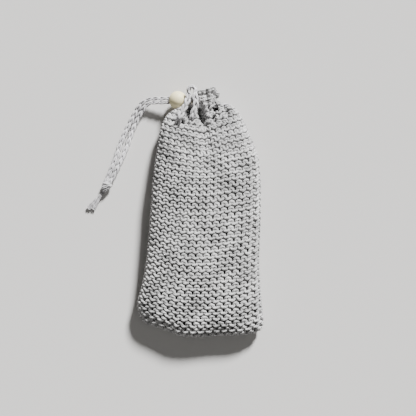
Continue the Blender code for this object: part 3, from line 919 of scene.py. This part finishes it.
def wood_material(name, colour):
    """Pale sanded wood, with growth rings across the ball and short pores along the grain."""
    nodes = Nodes(name)
    place = nodes.add("ShaderNodeTexCoord").outputs["Object"]
    sway = nodes.add("ShaderNodeTexNoise", {"Vector": place, "Scale": 120.0, "Detail": 2.0}).outputs["Color"]
    sway = nodes.vector("SCALE", {0: sway, "Scale": RING_SWAY})
    turned = nodes.add("ShaderNodeMapping", {"Vector": place, "Rotation": (0.4, 0.9, 0.3)}).outputs[0]
    bent = nodes.vector("ADD", {0: turned, 1: sway})
    waves = {"Vector": bent, "Scale": 260.0, "Distortion": 1.5, "Detail": 2.0}
    rings = nodes.add("ShaderNodeTexWave", waves, bands_direction="X").outputs["Fac"]
    stretched = nodes.add("ShaderNodeMapping", {"Vector": turned, "Scale": (1.0, 1.0, 0.12)}).outputs[0]
    fine = {"Vector": stretched, "Scale": 3200.0, "Detail": 3.0}
    pores = nodes.add("ShaderNodeTexNoise", fine).outputs["Fac"]
    grain = nodes.math("MULTIPLY_ADD", pores, PORE_TONE, nodes.math("MULTIPLY", rings, RING_TONE))
    dark, light = shade(colour, 0.9), shade(colour, 1.05)
    nodes.link(nodes.ramp(grain, (0.2, dark), (0.42, colour), (0.7, light)), "Base Color")
    nodes.link(nodes.math("MULTIPLY_ADD", pores, 0.2, 0.38), "Roughness")
    bump = nodes.add("ShaderNodeBump", {"Strength": 0.25, "Distance": 0.0001, "Height": pores})
    nodes.link(bump.outputs[0], "Normal")
    nodes.shader.inputs["Specular IOR Level"].default_value = 0.4
    return nodes.material


def floor_material(name, colour):
    nodes = Nodes(name)
    nodes.shader.inputs["Base Color"].default_value = (*colour, 1.0)
    nodes.shader.inputs["Roughness"].default_value = 0.85
    return nodes.material


# The studio


def add_camera():
    data = bpy.data.cameras.new("camera")
    made = bpy.data.objects.new("camera", data)
    bpy.context.collection.objects.link(made)
    made.location = (LOOK_AT[0], LOOK_AT[1], LOOK_AT[2] + CAMERA_DISTANCE)
    data.sensor_width = SENSOR_WIDTH
    data.lens = SENSOR_WIDTH * CAMERA_DISTANCE / SEEN_WIDTH
    bpy.context.scene.camera = made


def add_light(name, towards, angle, power):
    """A soft, distant light that shines from the given direction."""
    data = bpy.data.lights.new(name, "SUN")
    data.angle = math.radians(angle)
    data.energy = power
    made = bpy.data.objects.new(name, data)
    made.rotation_euler = Vector(towards).to_track_quat("Z", "Y").to_euler()
    bpy.context.collection.objects.link(made)


def add_floor():
    mesh = bpy.data.meshes.new("floor")
    reach = FLOOR_REACH
    corners = [(-reach, -reach), (reach, -reach), (reach, reach), (-reach, reach)]
    mesh.from_pydata([(x, y, -FLOOR_DROP) for x, y in corners], [], [(0, 1, 2, 3)])
    mesh.materials.append(floor_material("pale_floor", FLOOR_COLOUR))
    floor = bpy.data.objects.new("floor", mesh)
    bpy.context.collection.objects.link(floor)


def add_sky():
    """An even, faintly warm light from all round."""
    world = bpy.data.worlds.new("studio")
    world.use_nodes = True
    background = world.node_tree.nodes["Background"]
    background.inputs["Color"].default_value = (1.0, 0.98, 0.95, 1)
    background.inputs["Strength"].default_value = 0.13
    bpy.context.scene.world = world


# The pieces


def lip(piece):
    """Bakes a piece's placement into its mesh."""
    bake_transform(piece)


def make_cords(cord):
    """The two strands with their knot and cut ends."""
    rng = np.random.default_rng(SEED)
    knot = make_knot("knot_wraps", cord)
    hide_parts("stopper_knot")
    ends = []
    for letter, side, tip in (("a", 1, YARN_END_TIPS[0]), ("b", -1, YARN_END_TIPS[1])):
        end = make_yarn_end(f"cut_end_{letter}", side, tip, rng, cord)
        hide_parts(f"yarn_end_{letter}")
        ends.append(end)
    for piece in (knot, *ends):
        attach(piece, "pouch")
    for letter, side in (("a", 1), ("b", -1)):
        strand, path = make_strand(f"strand_{letter}", side, cord)
        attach(strand, "pouch")
        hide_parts(f"drawstring_strand_{letter}")


def knit(name, fabric, first, last, replaced, rng, cotton):
    """The courses from first to last of one panel."""
    lines, ups, radii = fabric.garter(first, last, rng)
    piece = tubes(name, lines, ups, radii, YARN_SIDES, cotton)
    if name == "front_neck_knit":
        lip(piece)
    else:
        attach(piece, "pouch")
    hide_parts(*replaced)


def bind_off(side_name, fabric, cotton):
    """The chain of stitches along the rim of one side."""
    path, normal = fabric.rim()
    path = path + np.array([0.0, EDGE_RISE, 0.0])
    name = f"{side_name}_bound_edge"
    edge = chain_piece(name, path, normal, cotton, EDGE_SPREAD, EDGE_RADIUS, stitch=EDGE_STITCH_LENGTH)
    if side_name == "front":
        lip(edge)
    else:
        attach(edge, "pouch")
    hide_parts(f"{side_name}_mouth_edge")


def run_drawstring(side_name, cord):
    """The drawstring's hidden run across one side of the neck."""
    side_sign = 1 if side_name == "front" else -1
    ring = evenly(half_ring(WAIST_Y, side_sign, ())[RUN_TRIM:-RUN_TRIM], RUN_POINTS)
    inward = RUN_DEPTH * np.sin(math.pi * np.linspace(0.0, 1.0, RUN_POINTS))
    x = ring[:, 0] * RUN_WIDTH + RUN_SHIFT
    path = np.column_stack([x, np.full(RUN_POINTS, WAIST_Y), ring[:, 1] - side_sign * inward])
    run = chain_piece(f"drawstring_{side_name}", path, np.array([0.0, 1.0, 0.0]), cord)
    if side_name == "front":
        lip(run)
    else:
        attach(run, "pouch")
    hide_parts(f"drawstring_{side_name}_run")


def stand_loop(cord):
    """The drawstring's loop, which comes out of the front and stands over the mouth's edge."""
    path = evenly(spline(np.array(LOOP_LINE), SPLINE_STEPS), LOOP_POINTS)
    from_hole = path[:, :2] - np.array(LOOP_HOLE)
    from_hole = unit(np.column_stack([from_hole, np.full(LOOP_POINTS, LOOP_LEAN)]))
    turned = ramp((path[:, 1] - LOOP_TURN_Y) / LOOP_TURN_HEIGHT)
    up = unit(from_hole * turned[:, None] + np.array([0.0, 0.0, 1.0]) * (1 - turned[:, None]))
    spread = LOOP_SPREAD + (TURNED_SPREAD - LOOP_SPREAD) * turned
    radius = LOOP_RADIUS + (CHAIN_RADIUS - LOOP_RADIUS) * turned
    loop = chain_piece("drawstring_standing_loop", path, up, cord, spread, radius)
    lip(loop)
    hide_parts("drawstring_loop")


def thread_bead(wood):
    bead = make_bead("turned_bead", wood)
    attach(bead, "bead")
    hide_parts("wooden_bead")


def sew(name, line, outward, radius, cotton):
    """A sewing yarn along a line that lies on the given side of the pouch."""
    return tubes(name, [line], [np.tile(outward, (len(line), 1))], [radius], YARN_SIDES, cotton)


def sew_side(side_name, column, outward, cotton):
    """The sewing up one side, whose edge is the given column of the sections."""
    start, end = BOTTOM_Y + SIDE_SEWING_START, WAIST_Y - SIDE_SEWING_END
    ys = np.arange(start, end, COURSE / SIDE_SEWING_POINTS)
    sections = smooth_through(SECTIONS, ys)
    x = sections[:, column] - outward * SIDE_SEWING_INSET
    z = sections[:, 3] / 2 + SIDE_SWING * np.sin(math.tau * ys / (2 * COURSE))
    lift = SIDE_LIFT * np.cos(2 * math.tau * ys / (2 * COURSE))
    line = np.column_stack([x + outward * lift, ys, z])
    line[:, 1] += line_height(BOTTOM_LIFT, x) * ramp(1 - (ys - BOTTOM_Y) / LIFT_FADE)
    seam = sew(f"{side_name}_sewing", line, [outward, 0.0, 0.0], SIDE_SEWING_RADIUS, cotton)
    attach(seam, "pouch")
    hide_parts(f"{side_name}_side_seam")


def sew_bottom(cotton):
    """The sewing along the bottom, which goes over the edge from the front to the back and returns."""
    y, left, right, thickness = SECTIONS[0]
    xs = np.arange(left + BOTTOM_SEWING_MARGINS[0], right - BOTTOM_SEWING_MARGINS[1], BOTTOM_SEWING_STEP)
    turn = math.tau * xs / BOTTOM_STITCH
    ys = y + BOTTOM_SEWING_INSET + line_height(BOTTOM_LIFT, xs) - BOTTOM_BULGE * np.cos(turn) ** 2
    line = np.column_stack([xs, ys, thickness / 2 + BOTTOM_RISE + BOTTOM_SWING * np.sin(turn)])
    seam = sew("bottom_sewing", line, [0.0, -1.0, 0.0], BOTTOM_SEWING_RADIUS, cotton)
    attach(seam, "pouch")
    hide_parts("bottom_seam")


add_camera()
cord = cotton_material("cord_cotton", CORD_COLOUR)
make_cords(cord)
add_floor()
add_sky()
add_light("key", towards=(0.36, 0.78, 0.50), angle=10.0, power=12.6)
add_light("fill", towards=(0.5, -0.5, 0.9), angle=60.0, power=0.35)

cotton = cotton_material("cotton", COTTON_COLOUR)
rng = np.random.default_rng(SEED)
front = Fabric(1, FRONT_FOLDS, FRONT_OPENINGS, FRONT_RIM, rng)
back = Fabric(-1, BACK_FOLDS, (), BACK_RIM, rng)
split = front.course_at_y(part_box("front_neck")[0][1] / MM)
for name, fabric, first, last, replaced in (
    ("front_knit", front, 0, split, ["front_panel"]),
    ("front_neck_knit", front, split, front.courses, ["front_neck", "front_header"]),
    ("back_knit", back, 0, split, ["back_panel"]),
    ("back_neck_knit", back, split, back.courses, ["back_header"]),
):
    knit(name, fabric, first, last, replaced, rng, cotton)
for side_name, fabric in (("front", front), ("back", back)):
    bind_off(side_name, fabric, cotton)
    run_drawstring(side_name, cord)
stand_loop(cord)
thread_bead(wood_material("pale_wood_grain", WOOD_COLOUR))
for side_name, column, outward in (("left", 1, -1), ("right", 2, 1)):
    sew_side(side_name, column, outward, cotton)
sew_bottom(cotton)
